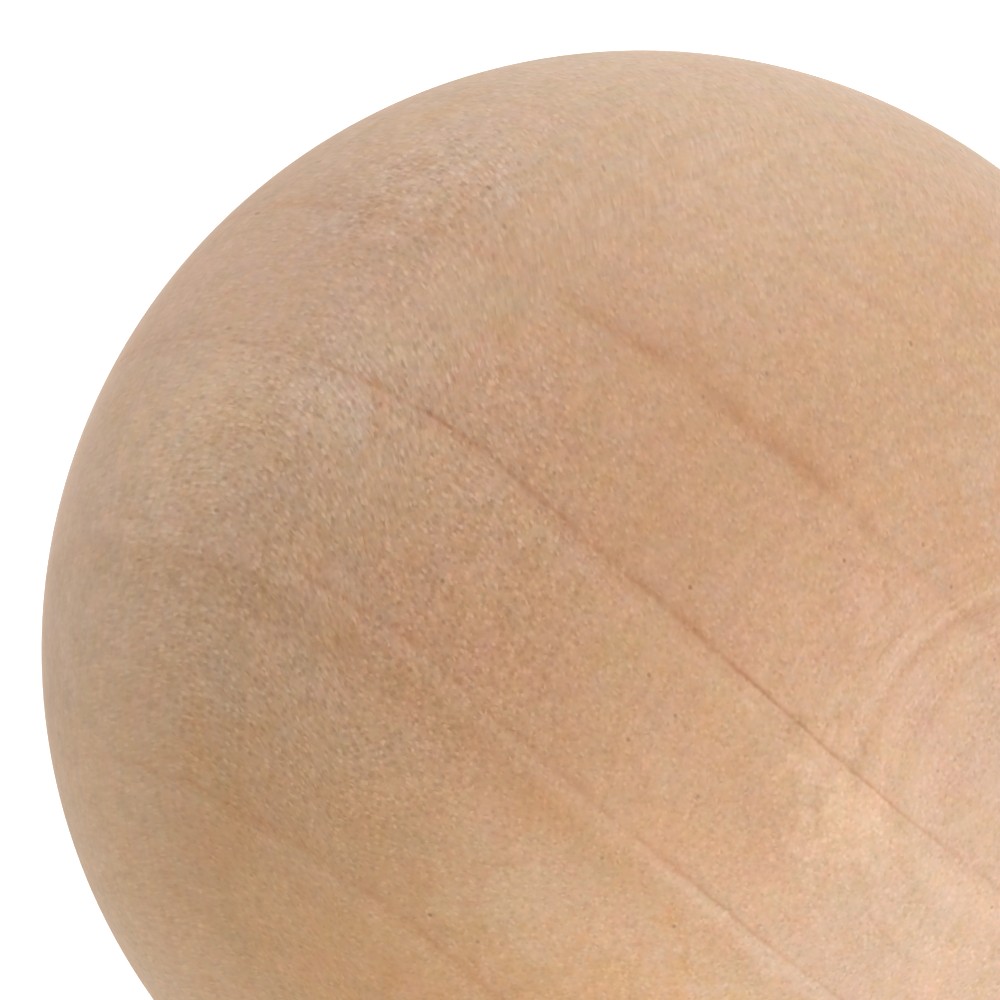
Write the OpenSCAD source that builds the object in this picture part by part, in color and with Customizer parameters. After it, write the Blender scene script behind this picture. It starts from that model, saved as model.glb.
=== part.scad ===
// Wooden ball.
// A plain solid ball turned from one piece of pale hardwood and sanded all
// over. It has no hole, flat or stem, and no other piece inside or on it.
// The origin is the centre of the ball, +Z is up as the ball lies on a table,
// and +X runs along the lathe axis that the ball was turned about.

/* [Ball] */
// Diameter of the ball, in millimetres
ball_d = 40; // [10:1:100]

/* [Hidden] */

// Pale, slightly pink tan of sanded bare wood
bare_wood = "#C8A07C";

// Sides in each circle of the preview
$fn = 180;

// The half disc that the turner's template follows, spun about the axis.
module ball_profile() {
    intersection() {
        circle(d = ball_d);
        translate([0, -ball_d / 2])
            square([ball_d / 2, ball_d]);
    }
}

// The whole ball, one solid of wood.
module ball() {
    color(bare_wood)
        rotate([0, 90, 0])
            rotate_extrude()
                ball_profile();
}

ball();
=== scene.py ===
import math

import bpy
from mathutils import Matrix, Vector


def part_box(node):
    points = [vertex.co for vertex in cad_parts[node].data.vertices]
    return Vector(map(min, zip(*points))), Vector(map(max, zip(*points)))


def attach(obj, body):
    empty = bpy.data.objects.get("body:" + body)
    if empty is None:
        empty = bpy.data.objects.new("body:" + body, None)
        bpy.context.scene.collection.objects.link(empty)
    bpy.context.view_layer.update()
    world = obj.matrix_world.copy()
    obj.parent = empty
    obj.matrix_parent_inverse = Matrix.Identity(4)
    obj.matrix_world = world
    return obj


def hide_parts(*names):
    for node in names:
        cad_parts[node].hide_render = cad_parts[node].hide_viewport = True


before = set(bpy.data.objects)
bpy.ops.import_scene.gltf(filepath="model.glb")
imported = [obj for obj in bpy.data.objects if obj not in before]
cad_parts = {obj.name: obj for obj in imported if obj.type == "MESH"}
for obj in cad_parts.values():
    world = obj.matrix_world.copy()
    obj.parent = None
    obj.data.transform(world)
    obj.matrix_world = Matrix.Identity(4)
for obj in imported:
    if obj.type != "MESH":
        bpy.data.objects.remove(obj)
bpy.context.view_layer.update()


# ---------------------------------------------------------------------------
# The camera. A long lens looks a little down at the ball from between its
# front and its +X end, close enough that the right and lower parts are cut off.
# ---------------------------------------------------------------------------

ball_low, ball_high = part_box("ball")
centre = (ball_low + ball_high) / 2
radius = (ball_high.x - ball_low.x) / 2

CAMERA_TURN = 52.3
CAMERA_RISE = 16.8
CAMERA_DISTANCE = 15 * radius
FIELD_WIDTH = 1.6701 * radius
AIM_RIGHT = -0.2366 * radius
AIM_UP = 0.2492 * radius


def direction(turn, rise):
    """A unit vector, turned from the front (-Y) towards +X and raised from level, in degrees."""
    turn = math.radians(turn)
    rise = math.radians(rise)
    return Vector((math.sin(turn) * math.cos(rise), -math.cos(turn) * math.cos(rise), math.sin(rise)))


to_camera = direction(CAMERA_TURN, CAMERA_RISE)
picture_right = direction(CAMERA_TURN + 90, 0)
picture_up = to_camera.cross(picture_right)
aim = centre + AIM_RIGHT * picture_right + AIM_UP * picture_up

bpy.ops.object.camera_add(location=centre + to_camera * CAMERA_DISTANCE)
camera = bpy.context.object
camera.name = "camera"
camera.rotation_euler = (aim - camera.location).to_track_quat("-Z", "Y").to_euler()
camera.data.lens = camera.data.sensor_width * CAMERA_DISTANCE / FIELD_WIDTH
bpy.context.scene.camera = camera
bpy.context.scene.view_settings.view_transform = "Standard"


# ---------------------------------------------------------------------------
# The floor. A sweep of matt white paper that the ball lies on. It shades off
# to plain white away from the ball and keeps the ball's soft shadow.
# ---------------------------------------------------------------------------

FLOOR_SIZE = 200 * radius
PAPER_COLOUR = "#E7E7E7"
PAPER_ROUGHNESS = 0.9

# The glow that makes the paper as bright as in a white room: as it lights the ball, and as it looks close
# to the ball and far from it.
GLOW_ON_BALL = 0.70
GLOW_CLOSE = 0.36
GLOW_FAR = 1.0
CLOSE = 2 * radius
FAR = 12 * radius


def colour(hex_code):
    """An sRGB hex colour as linear red, green, blue and 1."""
    values = [int(hex_code[i:i + 2], 16) / 255 for i in (1, 3, 5)]
    return [v / 12.92 if v <= 0.04045 else ((v + 0.055) / 1.055) ** 2.4 for v in values] + [1]


def add(tree, kind, *inputs, stops=(), **named):
    """Adds a shader node. The inputs fill its sockets in order, and each named value fills the socket or the
    setting of that name. An input that is a node is linked from the first of its outputs in use."""
    node = tree.nodes.new("ShaderNode" + kind)
    sockets = {name: value for name, value in named.items() if name in node.inputs}
    for name, value in named.items():
        if name not in sockets:
            setattr(node, name, value)
    in_use = [socket for socket in node.inputs if socket.enabled]
    filled = list(zip(in_use, inputs)) + [(node.inputs[name], value) for name, value in sockets.items()]
    for socket, value in filled:
        if isinstance(value, bpy.types.Node):
            value = next(output for output in value.outputs if output.enabled)
        if isinstance(value, bpy.types.NodeSocket):
            tree.links.new(value, socket)
        else:
            socket.default_value = value
    for i, (place, stop) in enumerate(stops):
        elements = node.color_ramp.elements
        if i == len(elements):
            elements.new(1.0)
        elements[i].position = place
        elements[i].color = stop
    return node


def seen(tree):
    """1 for rays that show a surface to the eye, straight or mirrored, and 0 for rays that light things."""
    path = add(tree, "LightPath")
    ways = [path.outputs[name] for name in ("Is Camera Ray", "Is Glossy Ray", "Is Transmission Ray")]
    mirrored = add(tree, "Math", ways[0], ways[1], operation="MAXIMUM")
    return add(tree, "Math", mirrored, ways[2], operation="MAXIMUM")


def matt_white_paper():
    """Uncoated white paper: even, matt and close to white, so that only the ball's shadow shows on it."""
    paper = bpy.data.materials.new("matt_white_paper")
    paper.use_nodes = True
    tree = paper.node_tree
    place = add(tree, "TexCoord").outputs["Object"]
    from_ball = add(tree, "VectorMath", place, operation="LENGTH")
    whiteness = add(tree, "MapRange", from_ball, CLOSE, FAR, GLOW_CLOSE, GLOW_FAR)
    glow = add(tree, "Mix", seen(tree), GLOW_ON_BALL, whiteness)
    shader = tree.nodes["Principled BSDF"]
    shader.inputs["Base Color"].default_value = colour(PAPER_COLOUR)
    shader.inputs["Roughness"].default_value = PAPER_ROUGHNESS
    shader.inputs["Emission Color"].default_value = colour("#FFFFFF")
    tree.links.new(glow.outputs[0], shader.inputs["Emission Strength"])
    return paper


bpy.ops.object.select_all(action="DESELECT")
bpy.ops.mesh.primitive_plane_add(size=FLOOR_SIZE, location=(centre.x, centre.y, centre.z - radius))
floor = bpy.context.object
floor.name = "paper_sweep"
floor.data.materials.append(matt_white_paper())


# ---------------------------------------------------------------------------
# The light. Round softboxes, one low and two high on the right and behind, and
# one on the left, in front of white walls that show but give no light.
# ---------------------------------------------------------------------------

room = bpy.data.worlds.new("white_room")
bpy.context.scene.world = room
room.use_nodes = True
walls = room.node_tree.nodes["Background"]
walls.inputs["Color"].default_value = colour("#FFFFFF")
room.node_tree.links.new(seen(room.node_tree).outputs[0], walls.inputs["Strength"])

# Each softbox: its name, its degrees round from the camera and up from level, and its watts.
SOFTBOXES = [("key_low", 35, 8, 0.38),
             ("top_right", 90, 72, 0.56),
             ("top_back", 180, 72, 0.34),
             ("fill_left", -110, 40, 0.39)]
SOFTBOX_DISTANCE = 15 * radius
SOFTBOX_SIZE = 10 * radius

for name, turn, rise, watts in SOFTBOXES:
    towards = direction(CAMERA_TURN + turn, rise)
    bpy.ops.object.light_add(type="AREA", location=centre + towards * SOFTBOX_DISTANCE)
    softbox = bpy.context.object
    softbox.name = name
    softbox.data.shape = "DISK"
    softbox.data.size = SOFTBOX_SIZE
    softbox.data.energy = watts
    softbox.rotation_euler = (-towards).to_track_quat("-Z", "Y").to_euler()
    softbox.visible_camera = False


# ---------------------------------------------------------------------------
# The ball. One blank of pale hardwood, turned between centres with its fibres
# along X, then sanded. The tool leaves shallow rings round the +X and -X ends.
# ---------------------------------------------------------------------------

MILLIMETRE = 0.001
MICRON = 0.001 * MILLIMETRE
OUTLINE_STEPS = 400
ROUND_STEPS = 240

# Tool rings: degrees from the nearer end, half width in mm, depth in microns.
TOOL_RINGS = [(10.2, 0.9, 12), (15.0, 0.5, 12), (18.8, 0.4, 14), (22.0, 0.6, 8), (27.0, 0.35, 8),
              (29.2, 0.5, 10), (31.8, 0.5, 10), (35.7, 0.4, 12), (38.2, 0.4, 8), (40.6, 0.5, 8)]


def in_edit_mode(piece, chosen):
    """Goes into edit mode on a piece with only the points that pass a test selected."""
    if piece.mode == "EDIT":
        bpy.ops.object.mode_set(mode="OBJECT")
    for face in piece.data.polygons:
        face.select = False
    for edge in piece.data.edges:
        edge.select = False
    for point in piece.data.vertices:
        point.select = chosen(point.co)
    bpy.ops.object.mode_set(mode="EDIT")
    bpy.ops.mesh.select_mode(type="VERT")


bpy.ops.object.select_all(action="DESELECT")
bpy.ops.mesh.primitive_circle_add(vertices=2 * OUTLINE_STEPS, radius=radius, location=(0, 0, 0))
ball = bpy.context.object
ball.name = "turned_ball"

# Half of the circle is the outline that the turning tool follows.
in_edit_mode(ball, lambda point: point.y < -10 * MICRON)
bpy.ops.mesh.delete(type="VERT")

# The tool dips a little at each of its rings, and the points on both sides follow smoothly.
half_step = math.radians(180 / OUTLINE_STEPS) / 2
for end in (1, -1):
    for turn, half_width, depth in TOOL_RINGS:
        middle = math.radians(turn)
        at = Vector((end * math.cos(middle), math.sin(middle), 0))
        in_edit_mode(ball, lambda point: point.angle(at) <= half_step)
        shrink = 1 - depth * MICRON / radius
        bpy.ops.transform.resize(value=(shrink, shrink, shrink), center_override=(0, 0, 0),
                                 use_proportional_edit=True, proportional_edit_falloff="SMOOTH",
                                 proportional_size=half_width * MILLIMETRE)

# The outline goes once round the lathe axis.
bpy.ops.mesh.select_all(action="SELECT")
bpy.ops.mesh.spin(steps=ROUND_STEPS, angle=2 * math.pi, center=(0, 0, 0), axis=(1, 0, 0))
bpy.ops.mesh.select_all(action="SELECT")
bpy.ops.mesh.remove_doubles(threshold=MICRON)
bpy.ops.mesh.normals_make_consistent(inside=False)
bpy.ops.object.mode_set(mode="OBJECT")
bpy.ops.object.shade_smooth()


def pith_distance(tree, mm, along_x):
    """How far the wood lies from the pith, in mm. The pith runs past the ball a little askew, and a growth
    ring is all that is one distance from it."""
    PITH_POINT = (0.0, 20.6, 33.1)
    PITH_ALONG = Vector((1.0, 0.166, -0.146)).normalized()
    offset = add(tree, "VectorMath", mm, PITH_POINT, operation="SUBTRACT")
    across = add(tree, "VectorMath", offset, PITH_ALONG, operation="CROSS_PRODUCT")
    distance = add(tree, "VectorMath", across, operation="LENGTH")

    # Near the +X end the rings kink by up to a third of a millimetre. All over, they wander in slow bends
    # and jag in short ones, with sizes in mm.
    BEND_SIZE = 10 / 3
    JAG_SIZE = 2 / 3
    at_end = add(tree, "MapRange", along_x, 9.0, 14.0, interpolation_type="SMOOTHSTEP")
    kink = add(tree, "MapRange", distance, 35.3, 41.0, 0.35, -0.35)
    kink = add(tree, "Math", at_end, kink, operation="MULTIPLY")
    wander = add(tree, "TexNoise", mm, Scale=1 / BEND_SIZE, Detail=1.0)
    wander = add(tree, "MapRange", wander, 0.0, 1.0, -0.12, 0.12)
    jag = add(tree, "TexNoise", mm, Scale=1 / JAG_SIZE, Detail=2.0)
    jag = add(tree, "MapRange", jag, 0.0, 1.0, -0.06, 0.06)
    for change in (kink, wander, jag):
        distance = add(tree, "Math", distance, change, operation="ADD")
    return distance


def ring_lines(tree, distance, along_x, patchy):
    """How strongly the dark late-wood line of each year shows, and the pale edge outside it."""
    # Each ring: its distance from the pith in mm, how dark and how broad its line is, how pale its edge is,
    # and how far outside the line that edge lies in mm.
    RINGS = [(11.6, 0.5, 1.0, 0.4, 0.5), (17.4, 0.5, 1.0, 0.4, 0.4), (23.2, 0.3, 0.9, 0.2, 0.5),
             (29.0, 0.35, 0.9, 0.2, 0.5), (35.5, 1.25, 1.6, 0.05, 0.7), (41.05, 1.25, 0.55, 0.5, 0.65),
             (46.65, 0.65, 0.5, 0.5, 0.27), (52.57, 0.8, 0.5, 0.3, 0.4), (58.0, 0.6, 0.6, 0.5, 0.4),
             (63.5, 0.6, 0.6, 0.4, 0.5)]
    years = 0.5
    for inner, outer in zip(RINGS, RINGS[1:]):
        year = add(tree, "MapRange", distance, inner[0], outer[0])
        years = add(tree, "Math", years, year, operation="ADD")
    nearest = add(tree, "Math", years, operation="FLOOR")
    nearest = add(tree, "Math", nearest, 0.5, operation="ADD")
    nearest = add(tree, "Math", nearest, len(RINGS), operation="DIVIDE")

    def by_ring(values):
        """The three values that belong to the nearest ring, as red, green and blue."""
        steps = [(i / len(RINGS), (*value, 1)) for i, value in enumerate(values)]
        ramp = add(tree, "ValToRGB", nearest, stops=steps)
        ramp.color_ramp.interpolation = "CONSTANT"
        return add(tree, "SeparateColor", ramp).outputs

    line_at, line_broad, _ = by_ring([(at, broad, 0) for at, _, broad, _, _ in RINGS])
    line_dark, edge_pale, edge_gap = by_ring([(dark, pale, gap) for _, dark, _, pale, gap in RINGS])
    beyond = add(tree, "Math", distance, line_at, operation="SUBTRACT")

    # The lines are broader between 10 and 16 mm along the blank.
    broader = add(tree, "MapRange", along_x, 4.0, 10.0, 1.0, 1.7)
    narrower = add(tree, "MapRange", along_x, 16.0, 18.0, 0.0, 0.7)
    broader = add(tree, "Math", broader, narrower, operation="SUBTRACT")
    line_broad = add(tree, "Math", line_broad, broader, operation="MULTIPLY")
    in_line = add(tree, "Math", beyond, line_broad, operation="DIVIDE")
    in_edge = add(tree, "Math", beyond, edge_gap, operation="SUBTRACT")

    def profile(value, heights):
        """A height that follows points of (mm, height) across a line."""
        REACH = 1.5
        scaled = add(tree, "MapRange", value, -REACH, REACH)
        return add(tree, "ValToRGB", scaled,
                   stops=[((at + REACH) / (2 * REACH), (h, h, h, 1)) for at, h in heights])

    # A line of breadth 1 is a quarter of a millimetre wide and shades off inwards.
    LINE = [(-1.0, 0.0), (-0.5, 0.08), (-0.22, 0.15), (-0.1, 0.5), (-0.01, 1.0), (0.06, 0.95), (0.14, 0.3),
            (0.22, 0.0)]
    EDGE = [(-0.22, 0.0), (-0.1, 0.7), (0.0, 1.0), (0.1, 0.8), (0.25, 0.3), (0.5, 0.0)]
    dark = profile(in_line, LINE)
    pale = profile(in_edge, EDGE)

    # Dark lines are half as strong on the -X half. Those nearer to the pith than 39 mm are fainter from 5 to
    # 12 mm along the blank and past 17 mm, and all of them fade at the very end.
    shown = add(tree, "MapRange", along_x, 0.0, 12.0, 0.5, 1.0)
    faint = add(tree, "MapRange", along_x, 4.0, 7.0, 0.0, 0.6)
    strong_again = add(tree, "MapRange", along_x, 8.0, 13.0, 0.0, 0.6)
    faint = add(tree, "Math", faint, strong_again, operation="SUBTRACT")
    faint_end = add(tree, "MapRange", along_x, 16.0, 18.0, 0.0, 0.7)
    faint = add(tree, "Math", faint, faint_end, operation="ADD")
    near_pith = add(tree, "MapRange", distance, 36.0, 39.5, 1.0, 0.0)
    faint = add(tree, "Math", faint, near_pith, operation="MULTIPLY")
    very_end = add(tree, "MapRange", along_x, 19.3, 19.8, 0.0, 0.6)
    faint = add(tree, "Math", faint, very_end, operation="ADD")
    shown = add(tree, "Math", shown, faint, operation="SUBTRACT")
    shown = add(tree, "Math", shown, 0.1, operation="MAXIMUM")
    for factor in (line_dark, patchy, shown):
        dark = add(tree, "Math", dark, factor, operation="MULTIPLY")

    # Pale edges weaken towards the -X end.
    shown = add(tree, "MapRange", along_x, -10.0, 8.0, 0.25, 1.0)
    for factor in (edge_pale, patchy, shown):
        pale = add(tree, "Math", pale, factor, operation="MULTIPLY")
    return dark, pale


def year_colour(tree, distance, along_x, spots):
    """The slow change of colour from year to year, and from one end of the blank to the other, with painted
    reflection and shade in the latter.
    """
    # Distances from the pith in mm.
    FIRST = 15.0
    LAST = 60.0
    TONES = [(20, "#CEB4A0"), (26, "#CAB09A"), (30, "#C8AB94"), (34.6, "#C8A88F"), (37.5, "#CDAB92"),
             (41, "#CFAC92"), (42, "#D3B297"), (46.9, "#D2B095"), (47.6, "#CCA888"), (48.6, "#D0AF92"),
             (49.5, "#CFAE91"), (51.5, "#C8A684"), (55, "#C09D78"), (58, "#C6A685")]
    tones = [((away - FIRST) / (LAST - FIRST), colour(tone)) for away, tone in TONES]
    spread = add(tree, "MapRange", distance, FIRST, LAST)
    tone = add(tree, "ValToRGB", spread, stops=tones)

    # Along the fibres the wood turns paler and pinker, and its bare end grain is the palest. Near the +X end
    # the paleness is partly a painted reflection of the bright floor, and the dip near -9 mm is partly
    # painted shade. Places are in mm along the blank, and the change is uneven except near the +X end.
    HALF_LENGTH = radius / MILLIMETRE
    END_TINTS_WITH_PAINTED_LIGHT = [(-20, "#F4ECE0"), (-16, "#E4DCD0"), (-9, "#DAD2C5"), (-5, "#E6E2DB"), (-2, "#ECE7E0"),
                 (4, "#EEE6DB"), (10, "#F4E8DA"), (14, "#F9E9D6"), (17, "#FDF0E0"), (19.2, "#FFFAF4"),
                 (20, "#FFFFFF")]
    shift = add(tree, "SeparateXYZ", spots)
    unevenness = add(tree, "MapRange", along_x, 4.0, 12.0, 6.0, 0.0)
    shift = add(tree, "Math", shift, unevenness, operation="MULTIPLY")
    place = add(tree, "Math", along_x, shift, operation="ADD")
    place = add(tree, "MapRange", place, -HALF_LENGTH, HALF_LENGTH)
    tints = [((x + HALF_LENGTH) / (2 * HALF_LENGTH), colour(tint)) for x, tint in END_TINTS_WITH_PAINTED_LIGHT]
    tint = add(tree, "ValToRGB", place, stops=tints)
    return add(tree, "VectorMath", tone, tint, operation="MULTIPLY")


def patches_with_painted_light(tree, ragged):
    """Patches some millimetres wide where the blank is greyer, redder or paler, each over those before it.
    The paler and bluer ones near the +X end are painted light, mostly a reflection of the bright floor, and
    the dark one at (-8, -18.5, 1) mm is painted shade.
    """
    # Each patch: its middle and radius in mm, and what red, green and blue are multiplied by.
    PATCHES = [((18.5, -5, 5), 7, (1.045, 1.035, 1.035)), ((-1, -11.5, 16), 5, (0.92, 0.93, 0.96)),
               ((10.5, -16, 6), 5.5, (1.02, 0.95, 0.91)), ((13.5, -14.5, -3), 4.5, (1.0, 1.12, 1.24)),
               ((18.5, -5.5, -5), 6, (0.91, 0.98, 1.06)), ((18.5, -1, 7.5), 4, (1.04, 0.95, 0.89)),
               ((-2, -17.5, 9), 5, (1.1, 1.15, 1.15)), ((1, -7.5, 18.5), 4.5, (1.01, 1.06, 1.15)),
               ((13, 3, 15), 4, (0.98, 0.95, 0.94)), ((3.5, -19.5, -1), 4, (0.98, 0.92, 0.86)),
               ((18, -9, 1), 3.5, (0.93, 0.9, 0.87)), ((4.5, -14.5, 13), 4.5, (1.03, 1.12, 1.22)),
               ((6.5, -11.5, 15), 3.5, (1.0, 1.05, 1.07)), ((-8, -18.5, 1), 5, (0.92, 0.9, 0.89)),
               ((16.5, -11, -3), 3, (0.97, 1.07, 1.17)), ((6, -18.5, -4.5), 3, (1.03, 1.03, 1.03)),
               ((-13, 8, 13), 6, (1.01, 1.05, 1.08)), ((3, 17, 10), 5, (0.96, 0.94, 0.92)),
               ((6, 14, -13), 6, (0.98, 0.94, 0.9)), ((-15, -7, -11), 5, (1.02, 1.06, 1.1)),
               ((17.5, -4.5, 9), 3, (1.07, 1.06, 1.07)), ((19, -5.5, 1), 3.5, (1.09, 1.09, 1.08)),
               ((17.5, -8.5, -5.5), 3.5, (0.94, 1.06, 1.22)), ((19, -0.5, -6.5), 3, (0.9, 0.96, 1.06)),
               ((3, -12.5, 15.5), 2.5, (0.92, 0.94, 0.98)), ((-3, -16, 11.5), 2.5, (1.0, 1.04, 1.07))]
    patch = (1, 1, 1, 1)
    for middle, reach, tint in PATCHES:
        away = add(tree, "VectorMath", ragged, middle, operation="DISTANCE")
        share = add(tree, "MapRange", away, 0.0, reach, 1.0, 0.0, interpolation_type="SMOOTHSTEP")
        patch = add(tree, "Mix", share, patch, (*tint, 1), data_type="RGBA")
    return patch


def fibre_flecks_and_painted_relief(tree, mm, fibres, along_x):
    """How pale or dark the short flecks along the fibres are, and how far they stand out. Single fibres are
    too fine to show, so the flecks are bundles of them that are three times as long as wide. Their paleness
    and darkness are partly the wood's own and partly painted highlight and painted shade of their relief."""
    # Widths in mm.
    SMALL_BUNDLE = 1 / 7
    LARGE_BUNDLE = 1 / 5
    FUZZ = 1 / 5

    def bundles(width):
        """One spot in each cell. The pick, from 0 to 1, is bent so that pale spots, partly painted
        highlights, are fewer and stronger than dark ones, and 0.43 is about its mean."""
        cells = add(tree, "TexVoronoi", fibres, Scale=1 / width)
        pick = add(tree, "SeparateColor", cells.outputs["Color"])
        pick = add(tree, "Math", pick, 1.4, operation="POWER")
        pick = add(tree, "Math", pick, 0.43, operation="SUBTRACT")
        spot = add(tree, "MapRange", cells, 0.2, 0.85, 1.0, 0.0, interpolation_type="SMOOTHSTEP")
        return add(tree, "Math", pick, spot, operation="MULTIPLY")

    small = bundles(SMALL_BUNDLE)
    large = bundles(LARGE_BUNDLE)
    fuzz = add(tree, "TexNoise", mm, Scale=1 / FUZZ, Detail=1.0)
    fuzz = add(tree, "Math", fuzz, 0.5, operation="SUBTRACT")
    fleck_and_relief_shade = small
    for part in (large, fuzz):
        half = add(tree, "Math", part, 0.5, operation="MULTIPLY")
        fleck_and_relief_shade = add(tree, "Math", fleck_and_relief_shade, half, operation="ADD")

    # On two opposite sides, and in one small place higher up, the tool met the fibres head on and tore them
    # a little, so the flecks are stronger there. Towards the -X end they are weaker.
    TORN_SIDE = Vector((6.4, -17.2, 7.8)).normalized()
    TORN_PLACE = (1.5, -10, 17)
    torn = add(tree, "VectorMath", mm, TORN_SIDE, operation="DOT_PRODUCT")
    torn = add(tree, "Math", torn, operation="ABSOLUTE")
    torn = add(tree, "MapRange", torn, 17.0, 19.6, 1.0, 1.85, interpolation_type="SMOOTHSTEP")
    higher_up = add(tree, "VectorMath", mm, TORN_PLACE, operation="DISTANCE")
    higher_up = add(tree, "MapRange", higher_up, 2.0, 5.0, 0.8, 0.0, interpolation_type="SMOOTHSTEP")
    torn = add(tree, "Math", torn, higher_up, operation="ADD")
    weaker = add(tree, "MapRange", along_x, -9.0, -3.0, 0.5, 1.0)
    torn = add(tree, "Math", torn, weaker, operation="MULTIPLY")
    fleck_and_relief_shade = add(tree, "Math", fleck_and_relief_shade, torn, operation="MULTIPLY")
    relief = add(tree, "Math", small, torn, operation="MULTIPLY")
    return fleck_and_relief_shade, relief


def turning_marks_and_groove_shade(tree, mm, patchy):
    """How pale or dark the short strokes are that the tool leaves round the lathe axis near both ends, with
    painted shade and painted light on the two flanks of each tool ring.
    """
    # Degrees from the nearer end, and 0 for the darkest painted shade, 0.5 for plain wood and 1 for the
    # palest painted light.
    LAST_MARK = 45
    MARK_AND_SHADE_LEVELS = [(0, 0.5), (5.5, 0.7), (8.5, 0.25), (12, 0.7), (14.2, 0.25), (15.7, 0.85), (17.5, 0.5),
             (18.3, 0.0), (19.3, 1.0), (21, 0.45), (23, 0.75), (23.8, 0.25), (25, 0.5), (26.8, 0.25),
             (27.4, 0.75), (28.3, 0.25), (30.3, 0.75), (30.9, 0.25), (32.6, 0.7), (35.2, 0.25),
             (36.3, 0.75), (37.8, 0.3), (38.8, 0.7), (39.8, 0.3), (42, 0.6), (45, 0.5)]
    along_x, along_y, along_z = add(tree, "SeparateXYZ", mm).outputs
    aside = add(tree, "VectorMath", mm, (0, 1, 1), operation="MULTIPLY")
    aside = add(tree, "VectorMath", aside, operation="LENGTH")
    from_middle = add(tree, "Math", along_x, operation="ABSOLUTE")
    turn = add(tree, "Math", aside, from_middle, operation="ARCTAN2")
    by_turn = add(tree, "MapRange", turn, 0.0, math.radians(LAST_MARK))
    marks_and_groove_shade = add(tree, "ValToRGB", by_turn, stops=[(at / LAST_MARK, (h, h, h, 1)) for at, h in MARK_AND_SHADE_LEVELS])
    marks_and_groove_shade = add(tree, "Math", marks_and_groove_shade, 0.5, operation="SUBTRACT")

    # The strokes break the marks up and add finer ones of their own. They are so many mm wide across the
    # tool's path and long along it.
    STROKE_WIDTH = 0.2
    STROKE_LENGTH = 2.0
    across = add(tree, "Math", turn, radius / MILLIMETRE, operation="MULTIPLY")
    round_y = add(tree, "Math", along_y, STROKE_WIDTH / STROKE_LENGTH, operation="MULTIPLY")
    round_z = add(tree, "Math", along_z, STROKE_WIDTH / STROKE_LENGTH, operation="MULTIPLY")
    path = add(tree, "CombineXYZ", across, round_y, round_z)
    strokes = add(tree, "TexNoise", path, Scale=1 / STROKE_WIDTH, Detail=1.0)
    strokes = add(tree, "Math", strokes, 0.5, operation="SUBTRACT")
    broken = add(tree, "MapRange", strokes, -0.15, 0.1, 0.45, 1.2)
    marks_and_groove_shade = add(tree, "Math", marks_and_groove_shade, broken, operation="MULTIPLY")
    strength = add(tree, "Math", strokes, operation="ABSOLUTE")
    for factor in (strength, patchy, 7.0):
        strokes = add(tree, "Math", strokes, factor, operation="MULTIPLY")
    marks_and_groove_shade = add(tree, "Math", marks_and_groove_shade, strokes, operation="ADD")

    # All of them fade away from the ends, by shares of the last mark's degrees, and below the middle.
    FADING = [(0.45, 1.0), (0.62, 0.5), (0.8, 0.15), (1.0, 0.0)]
    fading = add(tree, "ValToRGB", by_turn, stops=[(at, (h, h, h, 1)) for at, h in FADING])
    above = add(tree, "MapRange", along_z, -2.0, 6.0, 0.2, 1.0)
    for factor in (fading, above):
        marks_and_groove_shade = add(tree, "Math", marks_and_groove_shade, factor, operation="MULTIPLY")
    return marks_and_groove_shade


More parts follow.
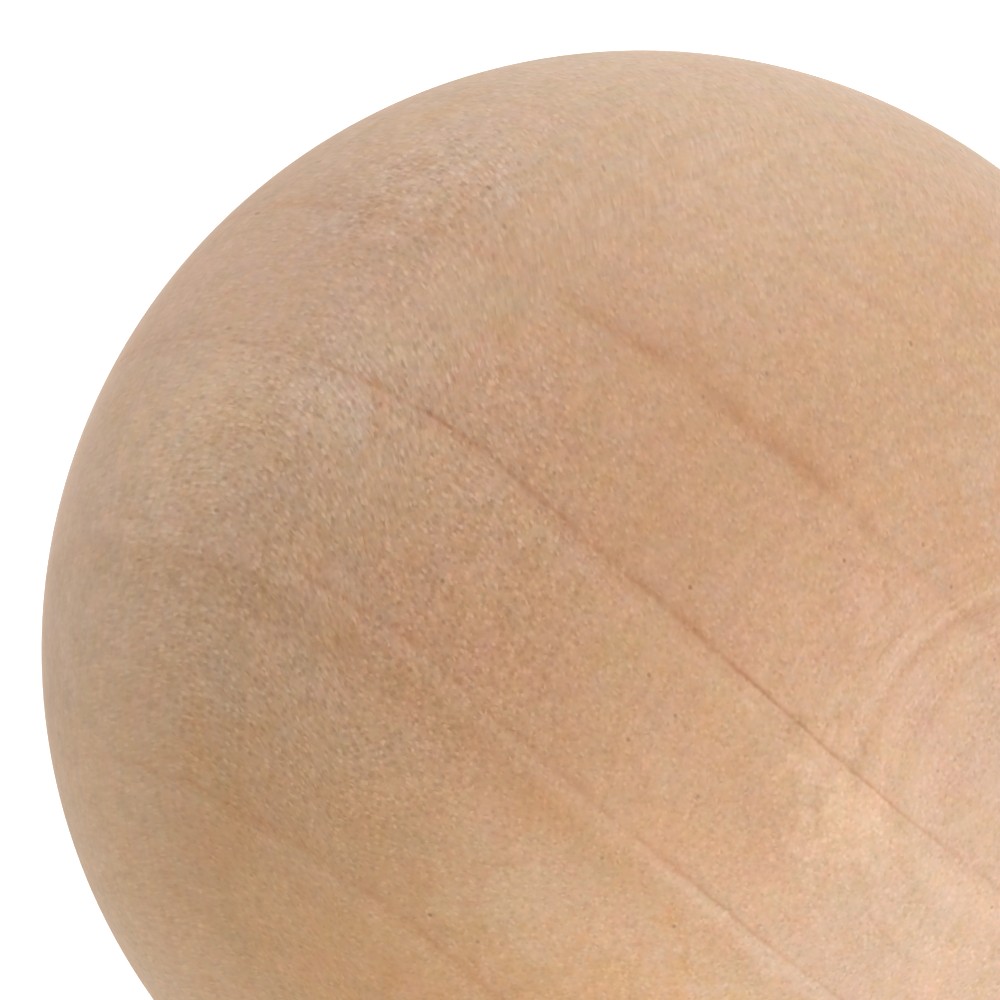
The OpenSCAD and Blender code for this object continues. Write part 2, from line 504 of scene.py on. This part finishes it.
def turned_pale_hardwood():
    """Bare diffuse-porous hardwood such as birch or maple, turned and fine sanded: a soft matt skin,
    growth rings that show as thin dark lines with a pale edge, and short fine flecks along the fibres."""
    # Part of this colour is painted light: shade and light on the tool rings and in the flecks, and
    # reflection and shade along the blank and in some patches.
    wood = bpy.data.materials.new("turned_sanded_pale_hardwood")
    wood.use_nodes = True
    tree = wood.node_tree

    # All patterns are solid and measured in millimetres from the ball's centre, so the scale of a noise is
    # one over the size of its spots.
    PATCHY_SIZE = 5 / 3
    SPOT_SIZE = 10 / 7
    place = add(tree, "TexCoord").outputs["Object"]
    mm = add(tree, "VectorMath", place, 1 / MILLIMETRE, operation="SCALE")
    along_x, along_y, along_z = add(tree, "SeparateXYZ", mm).outputs

    # Lines and strokes are stronger and weaker from place to place.
    patchy = add(tree, "TexNoise", mm, Scale=1 / PATCHY_SIZE, Detail=2.0)
    patchy = add(tree, "MapRange", patchy, 0.3, 0.7, 0.35, 1.65)

    # Spots with details down to an eighth of their size mottle the wood and make the edges of patches ragged.
    spots = add(tree, "TexNoise", mm, Scale=1 / SPOT_SIZE, Detail=3.0, Roughness=0.9).outputs["Color"]
    spots = add(tree, "VectorMath", spots, (0.5, 0.5, 0.5), operation="SUBTRACT")
    ragged = add(tree, "VectorMath", spots, 8.0, operation="SCALE")
    ragged = add(tree, "VectorMath", mm, ragged, operation="ADD")

    # Some spots are browner, some paler, some pinker and some yellower.
    MOTTLE = [(0.3, 0.17, 0), (0, 0.36, 0), (0, 0.54, 0.56)]
    mottle = [add(tree, "VectorMath", spots, amounts, operation="DOT_PRODUCT") for amounts in MOTTLE]
    mottle = add(tree, "CombineXYZ", *mottle)

    # The fibres run along the blank a little askew and rise towards the -X end. What follows them is drawn
    # out to three times its width.
    askew = add(tree, "MapRange", along_x, 0.0, 8.0, 0.2, 0.4)
    askew = add(tree, "Math", along_x, askew, operation="MULTIPLY")
    askew = add(tree, "Math", along_y, askew, operation="ADD")
    rising = add(tree, "MapRange", along_x, 0.0, 8.0, 0.3, -0.15)
    rising = add(tree, "Math", along_x, rising, operation="MULTIPLY")
    rising = add(tree, "Math", along_z, rising, operation="SUBTRACT")
    drawn_out = add(tree, "Math", along_x, 3.0, operation="DIVIDE")
    fibres = add(tree, "CombineXYZ", drawn_out, askew, rising)

    # The late-wood lines are brown and their edges pale on the slow colours of the blank.
    LATE_WOOD = "#A86A3C"
    LATE_WOOD_SHARE = 0.3
    PALE_EDGE = "#EBD0B8"
    PALE_EDGE_SHARE = 0.16
    distance = pith_distance(tree, mm, along_x)
    dark, pale = ring_lines(tree, distance, along_x, patchy)
    dark = add(tree, "Math", dark, LATE_WOOD_SHARE, operation="MULTIPLY")
    pale = add(tree, "Math", pale, PALE_EDGE_SHARE, operation="MULTIPLY")
    base = year_colour(tree, distance, along_x, spots)
    base = add(tree, "Mix", dark, base, colour(LATE_WOOD), data_type="RGBA")
    base = add(tree, "Mix", pale, base, colour(PALE_EDGE), data_type="RGBA")
    # Some of the patches are painted light and painted shade.
    base = add(tree, "VectorMath", base, patches_with_painted_light(tree, ragged), operation="MULTIPLY")

    # Flecks, marks and mottling make the wood lighter or darker by some hundredths, and blue changes most.
    # Part of the flecks is painted highlight and shade, and part of the marks is painted shade and light on
    # the tool rings.
    FLECK_AND_SHADE_CHANGE = (0.18, 0.225, 0.28)
    MARK_AND_SHADE_CHANGE = (0.13, 0.22, 0.32)
    # The flecks are partly painted highlight and painted shade of the fibres' relief.
    fleck_and_relief_shade, relief = fibre_flecks_and_painted_relief(tree, mm, fibres, along_x)
    # The marks hold painted shade and painted light on the flanks of the tool rings.
    marks_and_groove_shade = turning_marks_and_groove_shade(tree, mm, patchy)
    fleck_and_relief_shade = add(tree, "VectorMath", FLECK_AND_SHADE_CHANGE, fleck_and_relief_shade, operation="SCALE")
    marks_and_groove_shade = add(tree, "VectorMath", MARK_AND_SHADE_CHANGE, marks_and_groove_shade, operation="SCALE")
    light = (1, 1, 1)
    for change in (fleck_and_relief_shade, marks_and_groove_shade, mottle):
        light = add(tree, "VectorMath", light, change, operation="ADD")
    base = add(tree, "VectorMath", base, light, operation="MULTIPLY")

    # A few open pores, 0.1 to 0.2 mm across, hold dark dust.
    PORES_PER_MM = 1.3
    PORE_DUST = "#6B4526"
    pores = add(tree, "TexVoronoi", fibres, Scale=PORES_PER_MM)
    dusty = add(tree, "SeparateColor", pores.outputs["Color"]).outputs["Green"]
    dusty = add(tree, "MapRange", dusty, 0.5, 1.0, 0.0, 0.5)
    pore = add(tree, "MapRange", pores, 0.05, 0.12, 1.0, 0.0)
    pore = add(tree, "Math", pore, dusty, operation="MULTIPLY")
    base = add(tree, "Mix", pore, base, colour(PORE_DUST), data_type="RGBA")

    # Sanded wood is matt, with hardly a shine and a trace of fuzz from its cut fibres.
    FLECK_HEIGHT = 18 * MICRON
    rise = add(tree, "Bump", Height=relief, Strength=1.0, Distance=FLECK_HEIGHT)
    shader = tree.nodes["Principled BSDF"]
    shader.inputs["Roughness"].default_value = 0.5
    shader.inputs["IOR"].default_value = 1.5
    shader.inputs["Specular IOR Level"].default_value = 0.1
    shader.inputs["Sheen Weight"].default_value = 0.1
    shader.inputs["Sheen Roughness"].default_value = 0.5
    tree.links.new(base.outputs[2], shader.inputs["Base Color"])
    tree.links.new(rise.outputs[0], shader.inputs["Normal"])
    return wood


ball.data.materials.append(turned_pale_hardwood())
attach(ball, "root")
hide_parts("ball")
